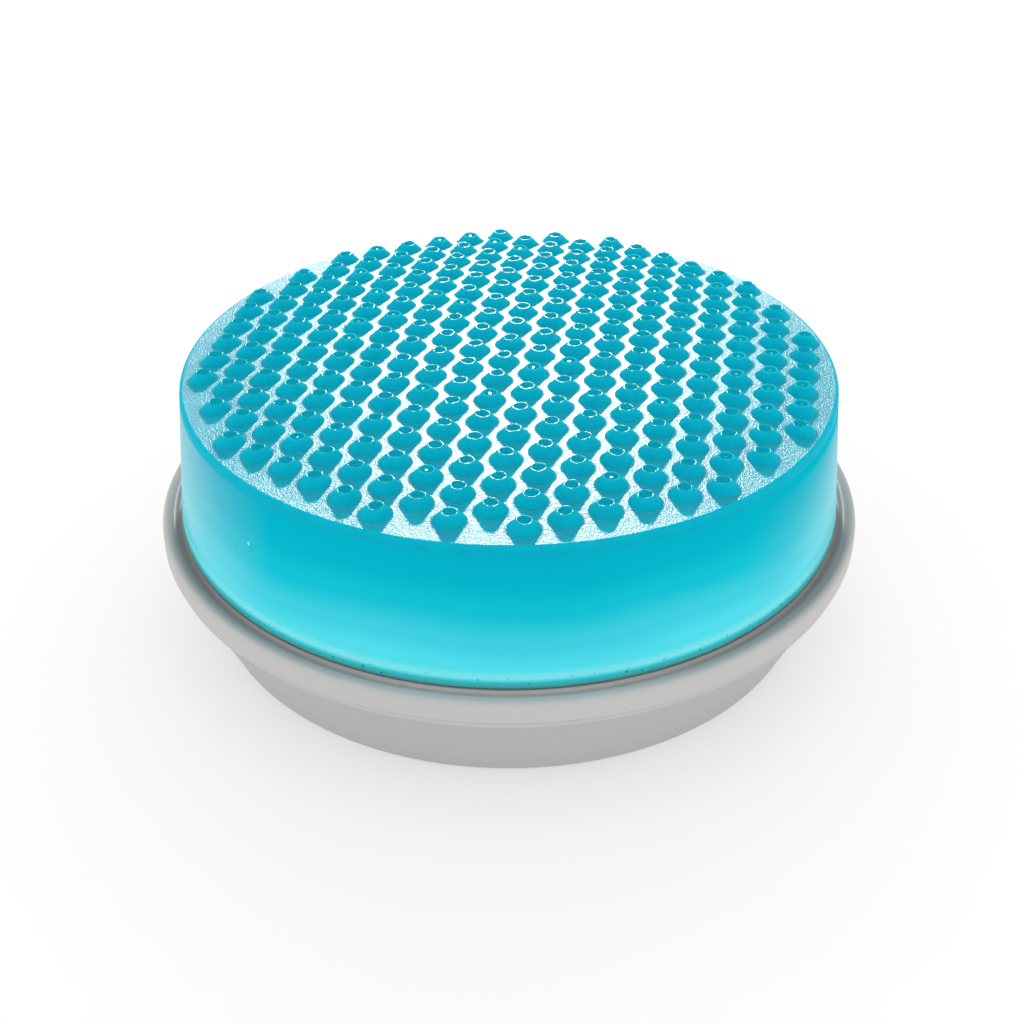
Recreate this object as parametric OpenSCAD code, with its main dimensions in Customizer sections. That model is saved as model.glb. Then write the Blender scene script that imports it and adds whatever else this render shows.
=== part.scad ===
// Round soap puck with a nubbed face, seated in a two-part drain dish.
// Origin: centre of the foot's underside. +Z is the axis of symmetry, pointing up.

/* [Soap puck] */
// Radius of the edge of the nubbed face
puck_top_r = 32; // [31.5:0.1:32.5]
// Radius of the side wall where it meets the dish
puck_base_r = 33.2; // [33:0.1:33.3]
// Height of the side wall that shows above the dish
puck_wall_h = 14; // [12:0.1:16]
// Rise of the domed face from its edge to its middle
crown_h = 2; // [1:0.1:2.5]
// Radius of the round along the face's edge
face_edge_round = 0.4; // [0.3:0.1:0.6]
// Radius of the round along the wall's lower edge
wall_edge_round = 0.3; // [0.2:0.1:0.6]
// Depth of the spigot that drops into the dish's well
spigot_h = 2.5; // [2:0.1:2.8]

/* [Nubs] */
// Distance between the centres of neighbouring nubs
nub_pitch = 3.635; // [3.5:0.005:4]
// Radius of a nub where it leaves the face
nub_base_r = 1.4; // [1.2:0.01:1.45]
// Radius of a nub's flat tip
nub_tip_r = 0.68; // [0.5:0.01:0.9]
// Height of a nub above the face
nub_h = 0.9; // [0.8:0.05:1.4]
// Outermost radius at which a nub's centre may lie
nub_field_r = 30.2; // [24:0.1:30.4]
// Turn of the nub rows about the puck's axis, in degrees
nub_turn = 20; // [0:1:59]
// Sideways offset of the middle nub along X
nub_shift_x = 0.15; // [-0.5:0.05:0.5]
// Sideways offset of the middle nub along Y
nub_shift_y = 0.15; // [-0.5:0.05:0.5]

/* [Dish tray] */
// Outer radius of the rolled lip
lip_r = 35.2; // [35:0.1:36]
// Thickness of the rolled lip
lip_h = 2; // [1.8:0.1:2.2]
// Radius of the round on the lip's upper edge
lip_round = 0.5; // [0.4:0.1:0.8]
// Radius of the round on the lip's lower edge
lip_under_round = 0.4; // [0.2:0.1:0.5]
// Depth of the gutter between the lip and the puck's wall
gutter_depth = 0.5; // [0.3:0.1:0.6]
// Radius of the well that takes the puck's spigot
well_r = 30.2; // [29.8:0.1:30.4]
// Wall thickness of the tray and of the base
wall_t = 1.3; // [1.1:0.1:1.4]
// Number of drain slots, with a seat rib between each pair
slot_count = 8; // [6:1:10]
// Width of a drain slot
slot_w = 3; // [2:0.1:4]
// Height of the seat ribs above the well's floor
rib_h = 1; // [0.8:0.1:1.2]

/* [Drip base] */
// Level of the seam between tray and base above the table
seam_z = 9.7; // [9.6:0.1:10]
// Gap left at the seam
seam_gap = 0.1; // [0.1:0.05:0.3]
// Outer radius of the base's rim, just under the seam
base_rim_r = 34.9; // [34.6:0.1:35]
// Height of the base's rim
base_rim_h = 0.8; // [0.6:0.1:1.1]
// Outer radius of the base's wall, just under its rim
base_top_r = 34.2; // [33.8:0.1:34.3]
// Outer radius of the foot
foot_r = 30.5; // [30:0.1:31]

/* [Foot ring] */
// Outer radius of the non-slip ring under the foot
ring_outer_r = 29.2; // [28.5:0.1:29.3]
// Width of the non-slip ring
ring_w = 2.4; // [2:0.1:3]
// How far the ring stands out below the base
ring_proud = 0.3; // [0.2:0.05:0.5]
// Depth of the groove that holds the ring
groove_depth = 0.9; // [0.7:0.1:1]

/* [Hidden] */
$fn = 96;
SKIN = 0.1;              // gap between the puck and what it rests on
FIT = 0.2;               // radial gap between the tray's skirt and the base
SPIGOT_GAP = 0.5;        // radial gap between the puck's spigot and the well
SINK = 0.4;              // how far a nub's root runs down into the puck
REBATE_H = 1.2;          // depth of the wider mouth of the base's bore
ARC_STEPS = 6;           // straight steps in a quarter round
DOME_STEPS = 8;          // bands in the domed face

lip_top_z = seam_z + lip_h;                      // ledge under the puck's wall
wall_foot_z = lip_top_z + SKIN;                  // lower edge of the puck's wall
face_edge_z = wall_foot_z + puck_wall_h;         // edge of the nubbed face
spigot_r = well_r - SPIGOT_GAP;
spigot_z = wall_foot_z - spigot_h;               // underside of the puck
rib_top_z = spigot_z - SKIN;
tray_floor_z = rib_top_z - rib_h;                // top of the tray's floor
tray_under_z = tray_floor_z - wall_t;            // underside of the tray's floor
skirt_r = well_r + wall_t;                       // outside of the tray's skirt
dome_r = (puck_top_r * puck_top_r + crown_h * crown_h) / (2 * crown_h);
dome_centre_z = face_edge_z + crown_h - dome_r;
base_floor_under_z = ring_proud + groove_depth;
base_floor_z = base_floor_under_z + wall_t;      // top of the base's floor
base_bore_top_r = skirt_r + FIT;
base_rebate_r = base_bore_top_r + 1.5;           // wider mouth of the base's bore
base_bore_low_r = foot_r - wall_t - 0.4;
base_top_z = seam_z - seam_gap;                  // top of the base's rim
base_wall_top_z = base_top_z - base_rim_h;
slot_angle = 360 / slot_count;
slot_inner_r = 10;                               // middle of a slot's inner end
slot_outer_r = 25;                               // middle of a slot's outer end
rib_w = 1.6;

// Points along a circular arc from angle a0 to angle a1
function arc(centre, r, a0, a1, steps = ARC_STEPS) =
    [for (i = [0:steps]) centre + r * [cos(a0 + (a1 - a0) * i / steps),
                                       sin(a0 + (a1 - a0) * i / steps)]];

// Height of the domed face at a distance r from the axis
function face_z(r) = dome_centre_z + sqrt(dome_r * dome_r - r * r);

// Centres of the nubs: a triangular grid, trimmed to a circle
function nub_centres(n = ceil(nub_field_r / nub_pitch) + 2) =
    [for (i = [-n:n], j = [-n:n])
        let (u = nub_pitch * (i + j / 2), v = nub_pitch * j * sqrt(3) / 2,
             x = nub_shift_x + u * cos(nub_turn) - v * sin(nub_turn),
             y = nub_shift_y + u * sin(nub_turn) + v * cos(nub_turn))
        if (norm([x, y]) <= nub_field_r) [x, y]];

module nub() {
    slope = (nub_base_r - nub_tip_r) / nub_h;
    translate([0, 0, -SINK])
        cylinder(h = nub_h + SINK, r1 = nub_base_r + slope * SINK, r2 = nub_tip_r, $fn = 24);
}

module puck_blank() {
    dome_step = (puck_top_r - face_edge_round / 2) / DOME_STEPS;
    rotate_extrude()
        polygon(concat(
            [[0, spigot_z], [spigot_r, spigot_z], [spigot_r, wall_foot_z]],
            arc([puck_base_r - wall_edge_round, wall_foot_z + wall_edge_round],
                wall_edge_round, -90, 0),
            arc([puck_top_r - face_edge_round, face_edge_z - face_edge_round],
                face_edge_round, 0, 75),
            [for (i = [DOME_STEPS:-1:1]) let (r = dome_step * i) [r, face_z(r)]],
            [[0, face_z(dome_step)]]));
}

module soap_puck() {
    color("#19bccb")
    union() {
        puck_blank();
        for (p = nub_centres())
            translate([p[0], p[1], face_z(norm(p))]) nub();
    }
}

// Lip with its gutter, skirt and floor of the tray in one turned outline
module tray_blank() {
    crest_r = lip_r - lip_round;
    gutter_z = lip_top_z - gutter_depth;
    rotate_extrude()
        polygon(concat(
            [[0, tray_under_z], [skirt_r, tray_under_z], [skirt_r, seam_z]],
            arc([lip_r - lip_under_round, seam_z + lip_under_round], lip_under_round, -90, 0),
            arc([crest_r, lip_top_z - lip_round], lip_round, 0, 90),
            [[crest_r - 0.1, lip_top_z - 0.1], [crest_r - 0.35, gutter_z],
             [puck_base_r + 0.25, gutter_z], [puck_base_r + 0.12, lip_top_z],
             [well_r, lip_top_z], [well_r, tray_floor_z], [0, tray_floor_z]]));
}

module drain_slot() {
    for (r = [slot_inner_r, slot_outer_r])
        translate([r, 0, tray_under_z - 1]) cylinder(h = wall_t + 2, d = slot_w);
    translate([slot_inner_r, -slot_w / 2, tray_under_z - 1])
        cube([slot_outer_r - slot_inner_r, slot_w, wall_t + 2]);
}

module seat_rib() {
    translate([slot_inner_r, -rib_w / 2, tray_floor_z - 0.2])
        cube([slot_outer_r - slot_inner_r + slot_w / 2, rib_w, rib_h + 0.2]);
}

module dish_tray() {
    color("#dcdad7")
    union() {
        difference() {
            tray_blank();
            for (i = [0:slot_count - 1]) rotate(i * slot_angle) drain_slot();
        }
        for (i = [0:slot_count - 1]) rotate((i + 0.5) * slot_angle) seat_rib();
    }
}

module drip_base() {
    rim_round = base_rim_h / 2;
    foot_round = 0.25;
    color("#c9c6c3")
    rotate_extrude()
        polygon(concat(
            [[0, base_floor_under_z], [ring_outer_r, base_floor_under_z],
             [ring_outer_r, ring_proud]],
            arc([foot_r - foot_round, ring_proud + foot_round], foot_round, -90, 0),
            [[base_top_r, base_wall_top_z]],
            arc([base_rim_r - rim_round, base_wall_top_z + rim_round], rim_round, -90, 90),
            [[base_rebate_r, base_top_z], [base_rebate_r, base_top_z - REBATE_H],
             [base_bore_top_r, base_top_z - REBATE_H], [base_bore_top_r, tray_under_z - 0.3],
             [base_bore_low_r, base_floor_z], [0, base_floor_z]]));
}

module foot_ring() {
    color("#e6e8e8")
    difference() {
        cylinder(h = base_floor_under_z, r = ring_outer_r);
        translate([0, 0, -1]) cylinder(h = base_floor_under_z + 2, r = ring_outer_r - ring_w);
    }
}

soap_puck();
dish_tray();
drip_base();
foot_ring();
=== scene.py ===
"""A shaving soap puck with a nubbed face, seated in a white two-part drain dish."""

import math
import random

import bpy
import bmesh
from mathutils import Matrix, Vector
from mathutils.geometry import delaunay_2d_cdt


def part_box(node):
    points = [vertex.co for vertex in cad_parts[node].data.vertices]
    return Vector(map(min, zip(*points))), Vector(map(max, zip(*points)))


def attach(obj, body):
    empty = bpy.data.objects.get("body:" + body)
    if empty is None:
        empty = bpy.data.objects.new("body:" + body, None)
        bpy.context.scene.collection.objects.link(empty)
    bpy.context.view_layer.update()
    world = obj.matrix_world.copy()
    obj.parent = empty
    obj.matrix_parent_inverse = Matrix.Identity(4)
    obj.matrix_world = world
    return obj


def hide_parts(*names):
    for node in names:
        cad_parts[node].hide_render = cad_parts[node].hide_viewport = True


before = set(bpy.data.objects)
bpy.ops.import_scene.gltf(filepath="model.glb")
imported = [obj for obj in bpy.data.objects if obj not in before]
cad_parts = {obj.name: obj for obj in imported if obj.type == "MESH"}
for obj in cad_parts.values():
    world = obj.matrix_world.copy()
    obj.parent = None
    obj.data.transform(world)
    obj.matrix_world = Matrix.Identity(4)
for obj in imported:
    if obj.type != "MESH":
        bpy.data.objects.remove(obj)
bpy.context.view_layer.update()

MM = 0.001
SEED = 7
TURNS = 256  # points round a turned piece

# ---------------------------------------------------------------- sizes, in metres, from the frame

puck_lo, puck_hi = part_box("soap_puck")
_, tray_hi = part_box("dish_tray")
base_lo, base_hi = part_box("drip_base")
_, ring_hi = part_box("foot_ring")

SKIN = 0.1 * MM  # gap between the puck and what it rests on
WALL_T = 1.3 * MM  # wall thickness of the tray and of the base

PUCK_R = puck_hi[0]  # side wall at its foot
FACE_R = PUCK_R - 1.2 * MM  # edge of the nubbed face
NUB_H = 0.9 * MM
CROWN = 2.0 * MM  # rise of the domed face from its edge to its middle
FACE_Z = puck_hi[2] - NUB_H - CROWN  # level of the face's edge
WALL_Z = tray_hi[2] + SKIN  # lower edge of the puck's wall
SPIGOT_Z = puck_lo[2]
SPIGOT_R = 29.7 * MM
SPIGOT_ROUND = 0.5 * MM
EDGE_ROUND = 0.4 * MM
WALL_FOOT_ROUND = 0.3 * MM
EDGE_STEPS = 6  # bands in the round along the face's edge
WALL_BANDS = 26  # bands down the side wall
DOME_R = (FACE_R**2 + CROWN**2) / (2 * CROWN)
DOME_CENTRE_Z = FACE_Z + CROWN - DOME_R
FACE_EDGE_R = FACE_R - EDGE_ROUND  # where the face ends and its edge round starts

NUB_PITCH = 3.635 * MM
NUB_BASE_R = 1.40 * MM
NUB_TURN = math.radians(20)
NUB_SHIFT = Vector((0.15 * MM, 0.15 * MM))
NUB_FIELD_R = 30.2 * MM
NUB_SIDES = 30
NUB_SUPPORT = 0.06 * MM  # ring just outside each nub that keeps the face's shading true
DOTTED_SHARE = 0.16  # share of nubs with a dull rim and a bright dot in the dish

# Outline of a nub: (distance from its root radius, share of its height) at the fillet, then
# (share of its root radius, share of its height)
NUB_FILLET = [(0.28 * MM, 0.0), (0.20 * MM, 0.010), (0.12 * MM, 0.030), (0.05 * MM, 0.066),
              (0.0, 0.11)]
NUB_FLANK = [(0.965, 0.17), (0.915, 0.26), (0.840, 0.40), (0.755, 0.55), (0.670, 0.70),
             (0.595, 0.84), (0.550, 0.93)]
NUB_RIM = [(0.510, 0.975), (0.493, 0.993), (0.474, 1.0), (0.455, 0.990), (0.440, 0.965)]
NUB_DISH = [(0.370, 0.915), (0.22, 0.880), (0.10, 0.868)]
NUB_MIDDLE = 0.866  # share of its height at the middle of the dish

LIP_R = tray_hi[0]
LIP_TOP = tray_hi[2]
LIP_H = 2.0 * MM
LIP_ROUND = 0.6 * MM
LIP_UNDER_ROUND = 0.2 * MM
GUTTER_W, GUTTER_DEPTH = 0.8 * MM, 0.25 * MM
GUTTER_STEPS = 14
SEAM_Z = LIP_TOP - LIP_H
WELL_R = 30.2 * MM
SKIRT_R = WELL_R + WALL_T
SKIRT_ROUND = 0.4 * MM
FLOOR_ROUND = 0.5 * MM  # where a floor meets the wall round it, in tray and base
SLOTS = 8
SLOT_IN, SLOT_OUT, SLOT_W = 10 * MM, 25 * MM, 3 * MM
RIB_W, RIB_H = 1.6 * MM, 1.0 * MM
TRAY_FLOOR = SPIGOT_Z - SKIN - RIB_H
TRAY_UNDER = TRAY_FLOOR - WALL_T

FOOT_R = 30.5 * MM
BASE_WALL_R = 34.2 * MM  # just under the rim
BASE_RIM_H = 0.8 * MM
BORE_R = SKIRT_R + 0.2 * MM  # takes the tray's skirt
BORE_LOW_R = FOOT_R - WALL_T - 0.4 * MM
REBATE_W, REBATE_H = 1.5 * MM, 1.2 * MM  # wider mouth of the bore
RING_R = ring_hi[0]
RING_W = 2.4 * MM


# ---------------------------------------------------------------- mesh helpers


def arc(centre, radius, start, end, steps=8):
    """Points of an arc in the (r, z) plane, angles in degrees."""
    out = []
    for i in range(steps + 1):
        a = math.radians(start + (end - start) * i / steps)
        out.append((centre[0] + radius * math.cos(a), centre[1] + radius * math.sin(a)))
    return out


def line(a, b, steps):
    """Points from a to b, without a itself."""
    return [(a[0] + (b[0] - a[0]) * i / steps, a[1] + (b[1] - a[1]) * i / steps)
            for i in range(1, steps + 1)]


def circle(radius, count=TURNS, centre=(0, 0)):
    """Points of a circle in the XY plane."""
    angles = [2 * math.pi * k / count for k in range(count)]
    return [Vector((centre[0] + radius * math.cos(a), centre[1] + radius * math.sin(a)))
            for a in angles]


def bridge(bm, low, high, material=0):
    """Quads between two closed rings of the same length."""
    n = len(low)
    for k in range(n):
        f = bm.faces.new((low[k], low[(k + 1) % n], high[(k + 1) % n], high[k]))
        f.material_index = material
        f.smooth = True


def fan(bm, ring, pole, material=0):
    """Triangles between a closed ring and one point."""
    n = len(ring)
    for k in range(n):
        f = bm.faces.new((pole, ring[k], ring[(k + 1) % n]))
        f.material_index = material
        f.smooth = True


def lathe(bm, profile, closed=True):
    """Turns an outline of (r, z) points about the Z axis. A point at r = 0 becomes a pole."""
    rings = []
    for r, z in profile:
        points = circle(r) if r > 0 else [Vector((0, 0))]
        rings.append([bm.verts.new((p.x, p.y, z)) for p in points])
    pairs = list(zip(rings, rings[1:])) + ([(rings[-1], rings[0])] if closed else [])
    for a, b in pairs:
        if len(a) == len(b) == 1:
            continue  # two poles: the outline runs along the axis here
        if len(a) == 1:
            fan(bm, b, a[0])
        elif len(b) == 1:
            fan(bm, a, b[0])
        else:
            bridge(bm, a, b)
    return rings


def cut_sheet(bm, outline, holes, level, material=0):
    """A sheet with convex holes, each point raised to level(its distance from the axis).

    Returns the ring of vertices round the outline, and one ring for each hole.
    """
    flat, edges, starts = [], [], []
    loops = holes + [outline]
    for loop in loops:
        start, n = len(flat), len(loop)
        starts.append(start)
        flat += [p / MM for p in loop]
        edges += [(start + k, start + (k + 1) % n) for k in range(n)]
    verts, _, faces, origin, _, _ = delaunay_2d_cdt(flat, edges, [], 0, 1e-6)
    made = [bm.verts.new((v.x * MM, v.y * MM, level((v * MM).length))) for v in verts]
    where = {source: made[k] for k, sources in enumerate(origin) for source in sources}
    rings = [[where[start + k] for k in range(len(loop))] for start, loop in zip(starts, loops)]
    hole_rings, rim = rings[:-1], rings[-1]
    owner = {v: k for k, ring in enumerate(hole_rings) for v in ring}
    for f in faces:
        corners = [made[k] for k in f]
        owners = {owner.get(v) for v in corners}
        if len(owners) == 1 and None not in owners:
            continue  # inside a hole
        face = bm.faces.new(corners)
        face.material_index = material
        face.smooth = True
    return rim, hole_rings


def finish_mesh(bm, name, materials, body, node, sharp=40):
    """Makes the object, gives it its materials and ties it to the frame.

    sharp: the angle in degrees from which an edge is shaded as a crease.
    """
    bmesh.ops.recalc_face_normals(bm, faces=bm.faces)
    for edge in bm.edges:
        edge.smooth = edge.calc_face_angle(0) < math.radians(sharp)
    mesh = bpy.data.meshes.new(name)
    bm.to_mesh(mesh)
    bm.free()
    for m in materials:
        mesh.materials.append(m)
    obj = bpy.data.objects.new(name, mesh)
    bpy.context.scene.collection.objects.link(obj)
    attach(obj, body)
    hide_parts(node)


# ---------------------------------------------------------------- material helpers


class Nodes:
    """A short way to write a node tree."""

    def __init__(self, name):
        self.mat = bpy.data.materials.new(name)
        self.mat.use_nodes = True
        self.tree = self.mat.node_tree
        self.bsdf = self.tree.nodes["Principled BSDF"]

    def add(self, kind, **settings):
        node = self.tree.nodes.new(kind)
        for key, value in settings.items():
            setattr(node, key, value)
        return node

    def link(self, out, socket):
        self.tree.links.new(out, socket)

    def feed(self, out, name):
        """Links an output to one of the shader's own sockets."""
        self.link(out, self.bsdf.inputs[name])

    def set(self, **values):
        """Sets values that are the same all over the surface on the shader's own sockets."""
        for key, value in values.items():
            self.bsdf.inputs[key.replace("_", " ")].default_value = value

    def coords(self):
        return self.add("ShaderNodeTexCoord").outputs["Object"]

    def axes(self, coords):
        """The x, y and z of a coordinate, in metres."""
        n = self.add("ShaderNodeSeparateXYZ")
        self.link(coords, n.inputs["Vector"])
        return (n.outputs[axis] for axis in "XYZ")

    def noise(self, coords, scale, detail=4.0, roughness=0.5):
        n = self.add("ShaderNodeTexNoise")
        n.inputs["Scale"].default_value = scale
        n.inputs["Detail"].default_value = detail
        n.inputs["Roughness"].default_value = roughness
        self.link(coords, n.inputs["Vector"])
        return n.outputs["Fac"]

    def ramp(self, fac, stops, interpolation="LINEAR"):
        n = self.add("ShaderNodeValToRGB")
        n.color_ramp.interpolation = interpolation
        elements = n.color_ramp.elements
        while len(elements) < len(stops):
            elements.new(0.5)
        for element, (place, colour) in zip(elements, stops):
            element.position = place
            element.color = (*colour, 1)
        self.link(fac, n.inputs["Fac"])
        return n.outputs["Color"]

    def grey_ramp(self, fac, stops):
        return self.ramp(fac, [(place, (value, value, value)) for place, value in stops])

    def map_range(self, value, low, high, to_low=0.0, to_high=1.0):
        n = self.add("ShaderNodeMapRange")
        n.inputs["From Min"].default_value = low
        n.inputs["From Max"].default_value = high
        n.inputs["To Min"].default_value = to_low
        n.inputs["To Max"].default_value = to_high
        self.link(value, n.inputs["Value"])
        return n.outputs["Result"]

    def math(self, operation, a, b=0.0):
        n = self.add("ShaderNodeMath", operation=operation)
        for socket, value in zip(n.inputs, (a, b)):
            if isinstance(value, (int, float)):
                socket.default_value = value
            else:
                self.link(value, socket)
        return n.outputs["Value"]

    def mix(self, fac, a, b):
        """Mixes two colours. Each is an output or a tuple."""
        n = self.add("ShaderNodeMix", data_type="RGBA")
        self.link(fac, n.inputs[0])
        for index, value in ((6, a), (7, b)):
            if isinstance(value, tuple):
                n.inputs[index].default_value = (*value, 1)
            else:
                self.link(value, n.inputs[index])
        return n.outputs[2]

    def near(self, coords, place, outer, inner):
        """1 within the inner distance of a place, 0 beyond the outer one."""
        n = self.add("ShaderNodeVectorMath", operation="DISTANCE")
        self.link(coords, n.inputs[0])
        n.inputs[1].default_value = place
        return self.map_range(n.outputs["Value"], outer, inner)

    def bump(self, height, strength, distance):
        n = self.add("ShaderNodeBump")
        n.inputs["Strength"].default_value = strength
        n.inputs["Distance"].default_value = distance
        self.link(height, n.inputs["Height"])
        return n.outputs["Normal"]


def shade(colour, share):
    return tuple(c * share for c in colour)


# ---------------------------------------------------------------- soap materials

TEAL_NUB = (0.002, 0.44, 0.57)
# darker teal for the nubs' dished tips: painted shade in the hollows
TEAL_DISH_PAINTED_SHADE = (0.002, 0.30, 0.40)
GEL_DEPTH = (0.15, 1.0, 1.3)  # how far red, green and blue light travels in the soap


def wall_point(azimuth, height):
    """A point of the side wall. Azimuth 0 is its front, height runs from 0 at its foot to 1."""
    a = math.radians(azimuth)
    r = PUCK_R + (FACE_R - PUCK_R) * height
    return Vector((r * math.sin(a), -r * math.cos(a), WALL_Z + (FACE_Z - WALL_Z) * height))


def wall_colour_with_painted_glow(n, co, height):
    """Deep teal at the top; painted light makes it paler towards the dish, with a painted bright
    line, a darker band and specks at the foot.
    """
    cloud = n.map_range(n.noise(co, 70, 1.0, 0.4), 0.1, 0.9, -0.08, 0.08)
    # painted glow: paler teal towards the dish stands in for light coming up through the soap from
    # the dish
    painted_glow = n.ramp(n.math("ADD", height, cloud),
                  [(0.0, (0.13, 0.84, 0.97)), (0.16, (0.095, 0.77, 0.90)),
                   (0.34, (0.055, 0.65, 0.77)), (0.56, (0.007, 0.55, 0.67)),
                   (0.78, (0.002, 0.475, 0.61)), (1.0, (0.002, 0.44, 0.575))], "EASE")
    # painted bright line of light from the dish near the foot, over a darker band at the very foot
    foot = n.ramp(height, [(0.0, (0.05, 0.30, 0.32)), (0.026, (0.08, 0.46, 0.49)),
                           (0.05, (0.03, 0.60, 0.70)), (0.068, (0.10, 0.80, 0.95)),
                           (0.084, (0.27, 0.86, 1.0)), (0.105, (0.20, 0.86, 1.0)),
                           (0.13, (0.13, 0.86, 0.98))])
    colour = n.mix(n.map_range(height, 0.11, 0.15), foot, painted_glow)
    near_foot = n.map_range(height, 0.105, 0.055)
    specks = n.math("MULTIPLY", n.map_range(n.noise(co, 2400, 1.0), 0.69, 0.73), near_foot)
    return n.mix(specks, colour, (0.01, 0.26, 0.32))


def with_bubble_and_painted_glint(n, co, colour):
    """An air bubble just under the surface, at the front on the left, with a painted highlight on
    it.
    """
    bubble, painted_glint = wall_point(-44.5, 0.57), wall_point(-45.0, 0.59)
    blister = n.math("MULTIPLY", n.near(co, bubble, 0.45 * MM, 0.30 * MM), 0.45)
    colour = n.mix(blister, colour, (0.01, 0.40, 0.49))
    # painted highlight: a pale spot stands in for the glint of light on the bubble
    return n.mix(n.near(co, painted_glint, 0.24 * MM, 0.10 * MM), colour, (0.33, 0.86, 0.93))


def wall_gloss(n, x, height):
    """Specular level: it grows towards the outline, and less so on the right and at the edges."""
    weight = n.add("ShaderNodeLayerWeight")
    weight.inputs["Blend"].default_value = 0.5
    grazing = n.map_range(weight.outputs["Facing"], 0.42, 0.80, 0.0, 0.5)
    left = n.grey_ramp(height, [(0.06, 0.2), (0.16, 0.8), (0.30, 1.0), (0.70, 1.0), (0.96, 0.55)])
    right = n.grey_ramp(height, [(0.06, 0.5), (0.20, 0.62), (0.50, 0.62), (0.70, 0.25),
                                 (0.88, 0.0)])
    side = n.mix(n.map_range(x, -5 * MM, 5 * MM), left, right)
    return n.math("MULTIPLY", grazing, side)


def soap_wall():
    """Side wall: smooth and satin, with the light coming up through it from the dish painted into
    its colour.
    """
    n = Nodes("soap_wall")
    co = n.coords()
    x, _, z = n.axes(co)
    height = n.map_range(z, WALL_Z, FACE_Z)
    n.feed(with_bubble_and_painted_glint(n, co, wall_colour_with_painted_glow(n, co, height)), "Base Color")
    n.feed(n.bump(n.noise(co, 160, 0.0), 0.05, 0.03 * MM), "Normal")
    n.feed(n.map_range(n.noise(co, 120, 2.0), 0.1, 0.9, 0.24, 0.34), "Roughness")
    n.feed(wall_gloss(n, x, height), "Specular IOR Level")
    n.set(IOR=1.45, Specular_IOR_Level=0.2, Subsurface_Weight=0.5, Subsurface_Radius=GEL_DEPTH,
          Subsurface_Scale=3 * MM)
    return n.mat


def soap_face():
    """The domed face between the nubs: a frosted gloss with a fine sparkling grain."""
    n = Nodes("soap_face")
    co = n.coords()
    n.feed(n.ramp(n.noise(co, 300, 3.0), [(0.3, (0.002, 0.38, 0.50)), (0.7, TEAL_NUB)]),
           "Base Color")
    n.feed(n.bump(n.noise(co, 6200, 2.0, 0.6), 1.0, 0.06 * MM), "Normal")
    n.feed(n.map_range(n.noise(co, 2500, 2.0), 0.35, 0.65, 0.28, 0.42), "Roughness")
    n.set(IOR=1.5, Specular_IOR_Level=0.5, Subsurface_Weight=0.4,
          Subsurface_Radius=GEL_DEPTH, Subsurface_Scale=3 * MM)
    return n.mat


def soap_nub(name, colour, gloss):
    """Nub flanks and dished tips: smooth, even teal with hardly any gloss."""
    n = Nodes(name)
    co = n.coords()
    n.feed(n.ramp(n.noise(co, 700, 2.0), [(0.35, shade(colour, 0.94)), (0.65, colour)]),
           "Base Color")
    n.feed(n.bump(n.noise(co, 1500, 2.0), 0.05, 0.03 * MM), "Normal")
    n.set(Roughness=0.45, IOR=1.45, Specular_IOR_Level=gloss, Subsurface_Weight=0.6,
          Subsurface_Radius=GEL_DEPTH, Subsurface_Scale=2 * MM)
    return n.mat


def soap_tip():
    """Rim round each nub's tip: clear gloss that catches the light in a ring."""
    n = Nodes("soap_tip")
    co = n.coords()
    n.feed(n.ramp(n.noise(co, 900, 2.0), [(0.3, shade(TEAL_NUB, 0.9)), (0.7, TEAL_NUB)]),
           "Base Color")
    n.feed(n.bump(n.noise(co, 2600, 1.0), 0.25, 0.05 * MM), "Normal")
    n.feed(n.map_range(n.noise(co, 1400, 1.0), 0.3, 0.7, 0.13, 0.22), "Roughness")
    n.set(IOR=1.5, Specular_IOR_Level=0.32)
    return n.mat


# ---------------------------------------------------------------- dish materials


def dish_plastic(n, co, tone, roughness):
    """Moulded white plastic: satin, with a fine even grain."""
    n.feed(tone, "Base Color")
    n.feed(n.bump(n.noise(co, 2600, 2.0), 0.05, 0.02 * MM), "Normal")
    n.feed(n.map_range(n.noise(co, 40, 1.0), 0.3, 0.7, roughness - 0.01, roughness + 0.02),
           "Roughness")
    n.set(IOR=1.5, Specular_IOR_Level=0.04, Subsurface_Weight=0.1,
          Subsurface_Radius=(1.0, 1.0, 1.0), Subsurface_Scale=0.6 * MM)
    return n.mat


def drift(n, co, colour):
    """A colour with a faint, slow drift of tone."""
    return n.ramp(n.noise(co, 35, 1.0), [(0.3, shade(colour, 0.975)), (0.7, colour)])


def tray_plastic():
    """The tray's plastic, with painted shade in the gutter beside the puck: wider at the sides,
    weaker towards the rear.
    """
    n = Nodes("dish_tray_plastic")
    co = n.coords()
    x, y, z = n.axes(co)
    tone = drift(n, co, (0.56, 0.55, 0.545))
    # painted shade: a darker grey in the gutter stands in for the shade and dark reflections beside
    # the puck's wall
    front_shade_tone, side_shade_tone = (0.47, 0.465, 0.46), (0.27, 0.265, 0.265)
    left = n.map_range(x, -8 * MM, -30 * MM)
    right = n.map_range(x, 8 * MM, 30 * MM)
    gutter_painted_shade = n.mix(n.math("ADD", left, right), front_shade_tone, side_shade_tone)
    radius = n.math("SQRT", n.math("ADD", n.math("MULTIPLY", x, x), n.math("MULTIPLY", y, y)))
    widening = n.math("ADD", n.math("MULTIPLY", left, 0.25 * MM),
                      n.math("MULTIPLY", right, 0.50 * MM))
    outer = n.math("ADD", widening, LIP_R - 0.45 * MM)
    inward = n.map_range(n.math("SUBTRACT", outer, radius), 0.0, 0.8 * MM)
    above = n.map_range(z, LIP_TOP - 0.9 * MM, LIP_TOP - 0.6 * MM)
    front = n.map_range(y, 10 * MM, -10 * MM, 0.45, 1.0)
    # how much painted shade: inside the gutter, near the lip's top, stronger towards the front
    share = n.math("MULTIPLY", n.math("MULTIPLY", inward, above), front)
    return dish_plastic(n, co, n.mix(share, tone, gutter_painted_shade), 0.42)


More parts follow.
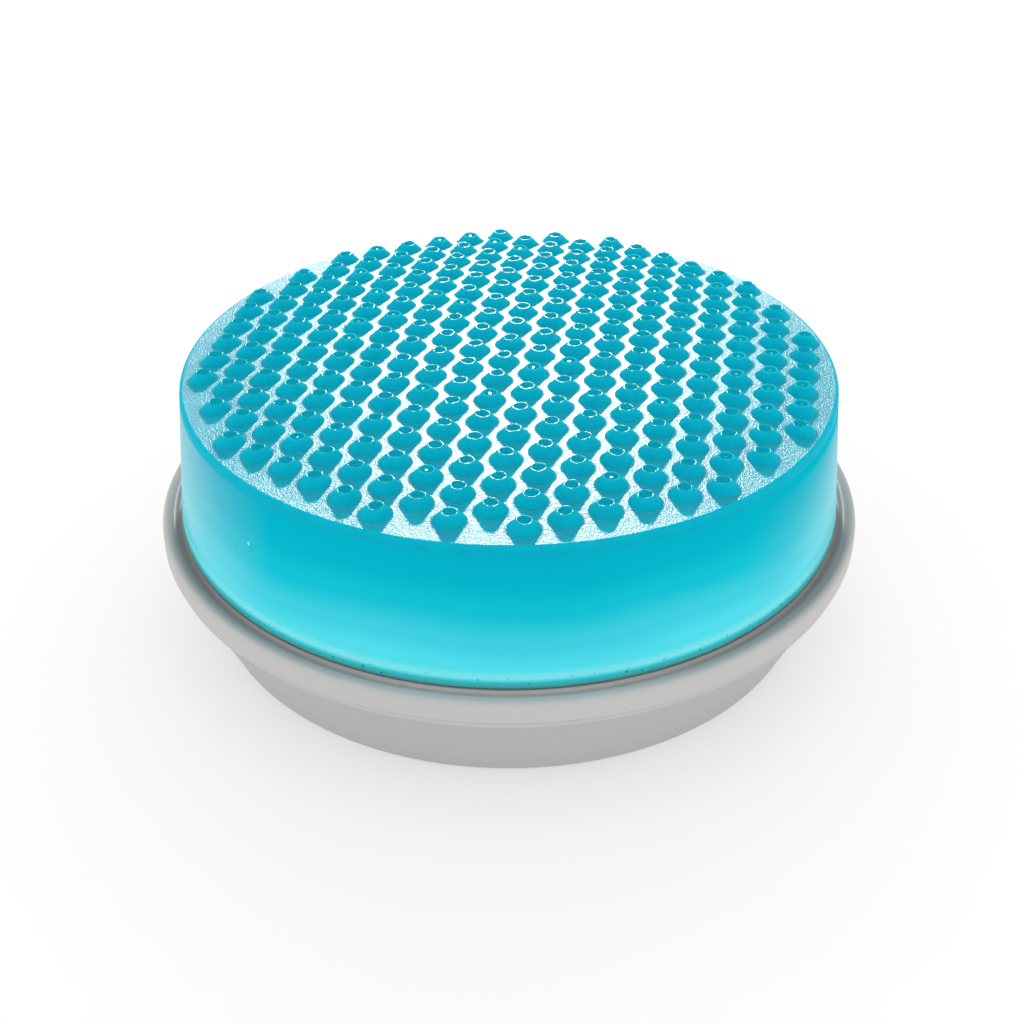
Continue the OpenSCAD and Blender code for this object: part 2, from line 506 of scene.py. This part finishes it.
def base_plastic():
    """The base's plastic, a little greyer than the tray's, with painted light on its upper rim."""
    n = Nodes("drip_base_plastic")
    co = n.coords()
    _, _, z = n.axes(co)
    tone = drift(n, co, (0.49, 0.475, 0.47))
    # painted light: the top of the rim is paler, where light falls on it
    painted_light_z = base_hi[2] - 0.45 * MM
    tone = n.mix(n.map_range(z, painted_light_z - 0.08 * MM, painted_light_z), tone, (0.55, 0.54, 0.535))
    return dish_plastic(n, co, tone, 0.46)


def ring_rubber():
    """Soft translucent non-slip ring under the foot."""
    n = Nodes("foot_ring_rubber")
    co = n.coords()
    n.feed(n.ramp(n.noise(co, 400, 3.0), [(0.3, (0.50, 0.53, 0.54)), (0.7, (0.60, 0.63, 0.64))]),
           "Base Color")
    n.feed(n.bump(n.noise(co, 3000, 2.0), 0.3, 0.04 * MM), "Normal")
    n.set(Roughness=0.62, IOR=1.45)
    return n.mat


# ---------------------------------------------------------------- the puck

WALL, FACE, NUB, TIP, DISH = range(5)  # the puck's material slots


def face_z(r):
    """Height of the domed face at a distance r from the axis."""
    return DOME_CENTRE_Z + math.sqrt(DOME_R * DOME_R - r * r)


def nub_centres():
    """Centres of the nubs: a triangular grid, trimmed to a circle."""
    out = []
    reach = math.ceil(NUB_FIELD_R / NUB_PITCH) + 2
    turn = Matrix.Rotation(NUB_TURN, 2)
    for i in range(-reach, reach + 1):
        for j in range(-reach, reach + 1):
            p = turn @ Vector((NUB_PITCH * (i + j / 2), NUB_PITCH * j * math.sqrt(3) / 2))
            p += NUB_SHIFT
            if p.length <= NUB_FIELD_R:
                out.append(p)
    return out


def root_radius(centre):
    """A nub's root radius: smaller where a full one would run over the face's edge."""
    room = FACE_EDGE_R - centre.length - NUB_FILLET[0][0] - NUB_SUPPORT - 0.02 * MM
    return min(NUB_BASE_R, room)


def wobble(rng, size):
    """A slow random wave round a circle, for the rims' hand-cast look."""
    waves = [(k, rng.uniform(0, size) / k, rng.uniform(0, 2 * math.pi)) for k in (2, 3, 5)]
    return lambda a: sum(amount * math.sin(k * a + phase) for k, amount, phase in waves)


def nub_ring(bm, centre, radius, height, wave=None):
    """One ring of a nub: it follows the dome at the root and lies level further up."""
    out = []
    blend = min(1.0, height / (0.15 * NUB_H))
    for k in range(NUB_SIDES):
        a = 2 * math.pi * k / NUB_SIDES
        r = radius * (1 + (wave(a) if wave else 0))
        x, y = centre.x + r * math.cos(a), centre.y + r * math.sin(a)
        root = face_z(math.hypot(x, y)) * (1 - blend) + face_z(centre.length) * blend
        lift = height * (1 - 0.35 * abs(wave(a + 1))) if wave else height
        out.append(bm.verts.new((x, y, root + lift)))
    return out


def add_nub(bm, root_ring, centre, base_r, rng):
    """A nub on its root ring: fillet, flank, bright rim and dished tip."""
    height = NUB_H * rng.uniform(0.97, 1.0)
    wave = wobble(rng, 0.15)
    dotted = rng.random() < DOTTED_SHARE
    rows = [(base_r + extra, rise, None, FACE) for extra, rise in NUB_FILLET[:-1]]
    rows += [(base_r + extra, rise, None, NUB) for extra, rise in NUB_FILLET[-1:]]
    rows += [(base_r * share, rise, None, NUB) for share, rise in NUB_FLANK]
    rows += [(base_r * share, rise, wave, NUB if dotted else TIP) for share, rise in NUB_RIM]
    rows += [(base_r * share, rise, wave, DISH) for share, rise in NUB_DISH]
    below = root_ring
    for radius, rise, ring_wave, material in rows:
        above = nub_ring(bm, centre, radius, height * rise, ring_wave)
        bridge(bm, below, above, material)
        below = above
    pole = bm.verts.new((centre.x, centre.y, face_z(centre.length) + height * NUB_MIDDLE))
    fan(bm, below, pole, TIP if dotted else DISH)


def puck_side():
    """Outline of the puck from the face's edge round down the wall and under the spigot."""
    shoulder_z = face_z(FACE_EDGE_R) - EDGE_ROUND
    foot_z = WALL_Z + WALL_FOOT_ROUND
    inner_round = 0.3 * MM  # between the wall's underside and the spigot
    side = arc((FACE_EDGE_R, shoulder_z), EDGE_ROUND, 80, 0, EDGE_STEPS)
    side += line((FACE_R, FACE_Z - EDGE_ROUND), (PUCK_R, foot_z), WALL_BANDS)
    side += arc((PUCK_R - WALL_FOOT_ROUND, foot_z), WALL_FOOT_ROUND, -8, -90, 6)
    side += [(SPIGOT_R + inner_round, WALL_Z)]
    side += arc((SPIGOT_R + inner_round, WALL_Z - inner_round), inner_round, 100, 180, 4)
    side += arc((SPIGOT_R - SPIGOT_ROUND, SPIGOT_Z + SPIGOT_ROUND), SPIGOT_ROUND, 0, -90, 5)
    side += [(r * MM, SPIGOT_Z) for r in (26, 18, 9, 0)]
    return side


def make_puck():
    rng = random.Random(SEED)
    bm = bmesh.new()
    centres = nub_centres()
    radii = [root_radius(c) for c in centres]
    margin = NUB_FILLET[0][0] + NUB_SUPPORT
    roots = [circle(r + margin, NUB_SIDES, c) for c, r in zip(centres, radii)]
    rim, root_rings = cut_sheet(bm, circle(FACE_EDGE_R), roots, face_z, FACE)
    for ring, centre, base_r in zip(root_rings, centres, radii):
        add_nub(bm, ring, centre, base_r, rng)
    rings = lathe(bm, puck_side(), closed=False)
    bridge(bm, rim, rings[0], FACE)
    edge_round = {v for ring in rings[:EDGE_STEPS + 2] for v in ring}
    for f in bm.faces:  # the face's edge round is plain teal, like the nubs
        if all(v in edge_round for v in f.verts):
            f.material_index = NUB
    # the tips' dishes get the darker teal, painted shade in the hollows
    materials = [soap_wall(), soap_face(), soap_nub("soap_nub", TEAL_NUB, 0.02), soap_tip(),
                 soap_nub("soap_dish_painted_shade", TEAL_DISH_PAINTED_SHADE, 0.0)]
    finish_mesh(bm, "soap_puck_casting", materials, "puck", "soap_puck", 65)


# ---------------------------------------------------------------- the dish


def slot_outline(turn):
    """Outline of a drain slot with round ends, in the XY plane."""
    half = SLOT_W / 2
    ends = arc((SLOT_OUT, 0), half, -90, 90) + arc((SLOT_IN, 0), half, 90, 270)
    rotation = Matrix.Rotation(turn, 2)
    return [rotation @ Vector(p) for p in ends]


def add_rib(bm, turn):
    """A seat rib with rounded upper edges, standing on the tray's floor."""
    half, top, e = RIB_W / 2, TRAY_FLOOR + RIB_H, 0.25 * MM
    root_z = TRAY_FLOOR - 0.2 * MM  # sunk into the floor
    section = [(-half, root_z)]
    section += arc((-half + e, top - e), e, 180, 90, 4) + arc((half - e, top - e), e, 90, 0, 4)
    section += [(half, root_z)]
    rotation = Matrix.Rotation(turn, 3, "Z")
    ends = []
    for x in (SLOT_IN, SLOT_OUT + SLOT_W / 2):
        ends.append([bm.verts.new(rotation @ Vector((x, y, z))) for y, z in section])
    bridge(bm, *ends)
    bm.faces.new(ends[0])
    bm.faces.new(ends[1][::-1])


def gutter_curve():
    """The gutter: a soft S-curve from the lip's crest down to the ledge under the puck's wall."""
    out = []
    for k in range(GUTTER_STEPS + 1):
        share = k / GUTTER_STEPS
        r = PUCK_R + 0.12 * MM + GUTTER_W * (1 - share)
        out.append((r, LIP_TOP - GUTTER_DEPTH * (1 - math.cos(math.pi * share)) / 2))
    return out


def tray_side():
    """Outline of the tray from its underside round the skirt, lip, gutter and well."""
    seam_bevel, well_round = 0.1 * MM, 0.3 * MM
    side = arc((SKIRT_R - SKIRT_ROUND, TRAY_UNDER + SKIRT_ROUND), SKIRT_ROUND, -75, 0, 5)
    side += [(SKIRT_R, SEAM_Z - seam_bevel), (SKIRT_R + seam_bevel, SEAM_Z)]
    side += arc((LIP_R - LIP_UNDER_ROUND, SEAM_Z + LIP_UNDER_ROUND), LIP_UNDER_ROUND, -90, 0, 5)
    side += arc((LIP_R - LIP_ROUND, LIP_TOP - LIP_ROUND), LIP_ROUND, 0, 90, 12)
    side += gutter_curve()
    side += [(PUCK_R - 0.05 * MM, LIP_TOP), (PUCK_R - 1.0 * MM, LIP_TOP)]
    side += arc((WELL_R + well_round, LIP_TOP - well_round), well_round, 90, 180, 5)
    side += arc((WELL_R - FLOOR_ROUND, TRAY_FLOOR + FLOOR_ROUND), FLOOR_ROUND, 0, -75, 5)
    return side


def make_tray():
    bm = bmesh.new()
    outlines = [slot_outline(2 * math.pi * k / SLOTS) for k in range(SLOTS)]
    low_rim, low_slots = cut_sheet(bm, circle(SKIRT_R - SKIRT_ROUND), outlines,
                                   lambda r: TRAY_UNDER)
    high_rim, high_slots = cut_sheet(bm, circle(WELL_R - FLOOR_ROUND), outlines,
                                     lambda r: TRAY_FLOOR)
    for low, high in zip(low_slots, high_slots):
        bridge(bm, low, high)
    rings = lathe(bm, tray_side(), closed=False)
    bridge(bm, low_rim, rings[0])
    bridge(bm, rings[-1], high_rim)
    for k in range(SLOTS):
        add_rib(bm, 2 * math.pi * (k + 0.5) / SLOTS)
    finish_mesh(bm, "dish_tray_moulding", [tray_plastic()], "tray", "dish_tray")


def base_section():
    """Outline of the base: groove, foot, tapering wall, rim, bore and floor."""
    recess = ring_hi[2]  # the ring's groove reaches up to here
    floor = recess + WALL_T
    low, top, rim_r = base_lo[2], base_hi[2], base_hi[0]
    foot_round, under_round, top_round = 0.25 * MM, 0.3 * MM, 0.15 * MM
    bevel = 0.1 * MM
    wall_top = top - BASE_RIM_H
    mouth_r = BORE_R + REBATE_W
    out = [(0, recess), (RING_R, recess), (RING_R, low + bevel), (RING_R + bevel, low)]
    out += arc((FOOT_R - foot_round, low + foot_round), foot_round, -90, -20, 6)
    out += line((FOOT_R, low + foot_round), (BASE_WALL_R, wall_top - 0.05 * MM), 10)
    out += arc((rim_r - under_round, wall_top + under_round), under_round, -90, 0, 6)
    out += arc((rim_r - top_round, top - top_round), top_round, 0, 90, 5)
    out += [(mouth_r + bevel, top), (mouth_r, top - bevel)]
    out += [(mouth_r, top - REBATE_H), (BORE_R, top - REBATE_H), (BORE_R, TRAY_UNDER - 0.3 * MM)]
    out += arc((BORE_LOW_R - FLOOR_ROUND, floor + FLOOR_ROUND), FLOOR_ROUND, 0, -90, 5)
    out += [(12 * MM, floor), (0, floor)]
    return out


def make_base():
    bm = bmesh.new()
    lathe(bm, base_section())
    finish_mesh(bm, "drip_base_moulding", [base_plastic()], "base", "drip_base")


def make_ring():
    bm = bmesh.new()
    top = ring_hi[2]
    inner = RING_R - RING_W
    e = 0.25 * MM  # round of the lower edges
    section = arc((RING_R - e, e), e, -90, 0, 5) + [(RING_R, top), (inner, top)]
    section += arc((inner + e, e), e, 180, 270, 5)
    lathe(bm, section)
    finish_mesh(bm, "foot_ring_band", [ring_rubber()], "base", "foot_ring")


# ---------------------------------------------------------------- stage


def make_floor():
    """Pale paper, a hair below the foot ring so that the two surfaces don't meet."""
    bm = bmesh.new()
    bmesh.ops.create_grid(bm, x_segments=4, y_segments=4, size=1.6)
    mesh = bpy.data.meshes.new("floor")
    bm.to_mesh(mesh)
    bm.free()
    floor = bpy.data.objects.new("floor", mesh)
    bpy.context.scene.collection.objects.link(floor)
    n = Nodes("floor_paper")
    n.feed(n.ramp(n.noise(n.coords(), 8, 2.0), [(0.3, (0.55,) * 3), (0.7, (0.56,) * 3)]),
           "Base Color")
    n.set(Roughness=0.9, Specular_IOR_Level=0.0, Emission_Color=(1, 1, 1, 1),
          Emission_Strength=0.43)
    mesh.materials.append(n.mat)
    floor.location.z = -0.02 * MM


def add_area(name, azimuth, elevation, distance, size, radiance, diffuse=True, glossy=True):
    """A soft box of a given radiance aimed at the puck. Azimuth 0 is behind it, 90 to its right."""
    a, e = math.radians(azimuth), math.radians(elevation)
    centre = Vector((0, 0, FACE_Z))
    place = centre + distance * Vector((math.sin(a) * math.cos(e), math.cos(a) * math.cos(e),
                                        math.sin(e)))
    data = bpy.data.lights.new(name, "AREA")
    data.shape = "RECTANGLE"
    data.size, data.size_y = size
    data.energy = radiance * math.pi * size[0] * size[1]
    obj = bpy.data.objects.new(name, data)
    obj.location = place
    obj.rotation_euler = (centre - place).to_track_quat("-Z", "Y").to_euler()
    obj.visible_camera = False
    obj.visible_diffuse = diffuse
    obj.visible_glossy = glossy
    bpy.context.scene.collection.objects.link(obj)


def make_lights():
    """Even white surroundings, and behind the puck a small light that only gloss shows
    and a wide one that gloss doesn't show."""
    world = bpy.data.worlds.new("studio")
    world.use_nodes = True
    background = world.node_tree.nodes["Background"]
    background.inputs["Color"].default_value = (1, 1, 1, 1)
    background.inputs["Strength"].default_value = 1.0
    bpy.context.scene.world = world
    world.cycles_visibility.glossy = False
    add_area("back_core", 0, 28.5, 0.90, (0.06, 0.06), 1400.0, diffuse=False)
    add_area("back_wide", 3, 27, 0.80, (0.95, 0.45), 1.2, glossy=False)


def make_camera():
    """From the front, 33 degrees above the horizon and about 5.2 face radii away."""
    elevation = math.radians(33.2)
    distance = 5.21 * FACE_R
    target_z = FACE_Z - 0.545 * FACE_R
    data = bpy.data.cameras.new("camera")
    data.sensor_width = 36
    data.lens = 56.2
    data.clip_start = 0.005
    camera = bpy.data.objects.new("camera", data)
    camera.location = (0.009 * FACE_R, -distance * math.cos(elevation),
                       target_z + distance * math.sin(elevation))
    camera.rotation_euler = (math.pi / 2 - elevation, 0, 0)
    bpy.context.scene.collection.objects.link(camera)
    bpy.context.scene.camera = camera


make_camera()
make_puck()
make_tray()
make_base()
make_ring()
make_floor()
make_lights()
bpy.context.scene.view_settings.view_transform = "Standard"
